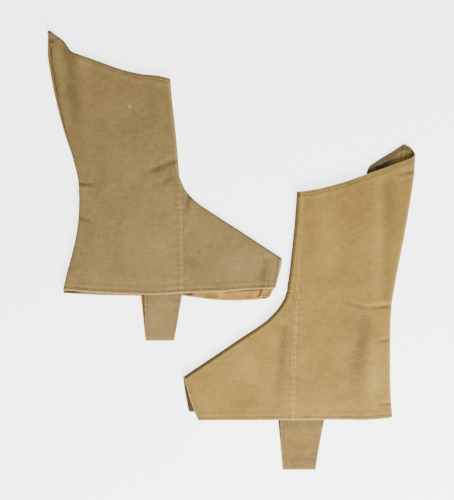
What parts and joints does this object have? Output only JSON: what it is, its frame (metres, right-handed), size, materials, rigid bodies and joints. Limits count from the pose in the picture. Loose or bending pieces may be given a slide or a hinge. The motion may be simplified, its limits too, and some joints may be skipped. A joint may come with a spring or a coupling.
{
  "type": "pair of canvas spats, laid flat",
  "caption": "Short cloth gaiters in khaki cotton canvas, laid flat as flattened tubes with a felled vamp seam and a looped instep strap under each hem.",
  "frame": {"origin": "on the surface the pair lies on, under the middle of its box", "axes": "+Y up both legs, from hem to top; +X across, the way the left-hand spat's toe points; +Z up from the surface, out of the faces that show"},
  "size_m": [0.4416, 0.5293, 0.0056],
  "materials": {
    "panel_canvas": "matt woven cotton canvas, khaki tan",
    "strap_canvas": "matt woven cotton canvas, a little lighter",
    "closure_canvas": "matt woven cotton canvas, inner face"
  },
  "bodies": {
    "root": {"left_leg_upper": "panel_canvas", "left_vamp_upper": "panel_canvas", "left_leg_under": "panel_canvas", "left_vamp_under": "panel_canvas", "left_placket": "closure_canvas", "left_strap": "strap_canvas", "right_leg_upper": "panel_canvas", "right_vamp_upper": "panel_canvas", "right_leg_under": "panel_canvas", "right_vamp_under": "panel_canvas", "right_underlap": "closure_canvas", "right_strap": "strap_canvas"}
  },
  "joints": []
}
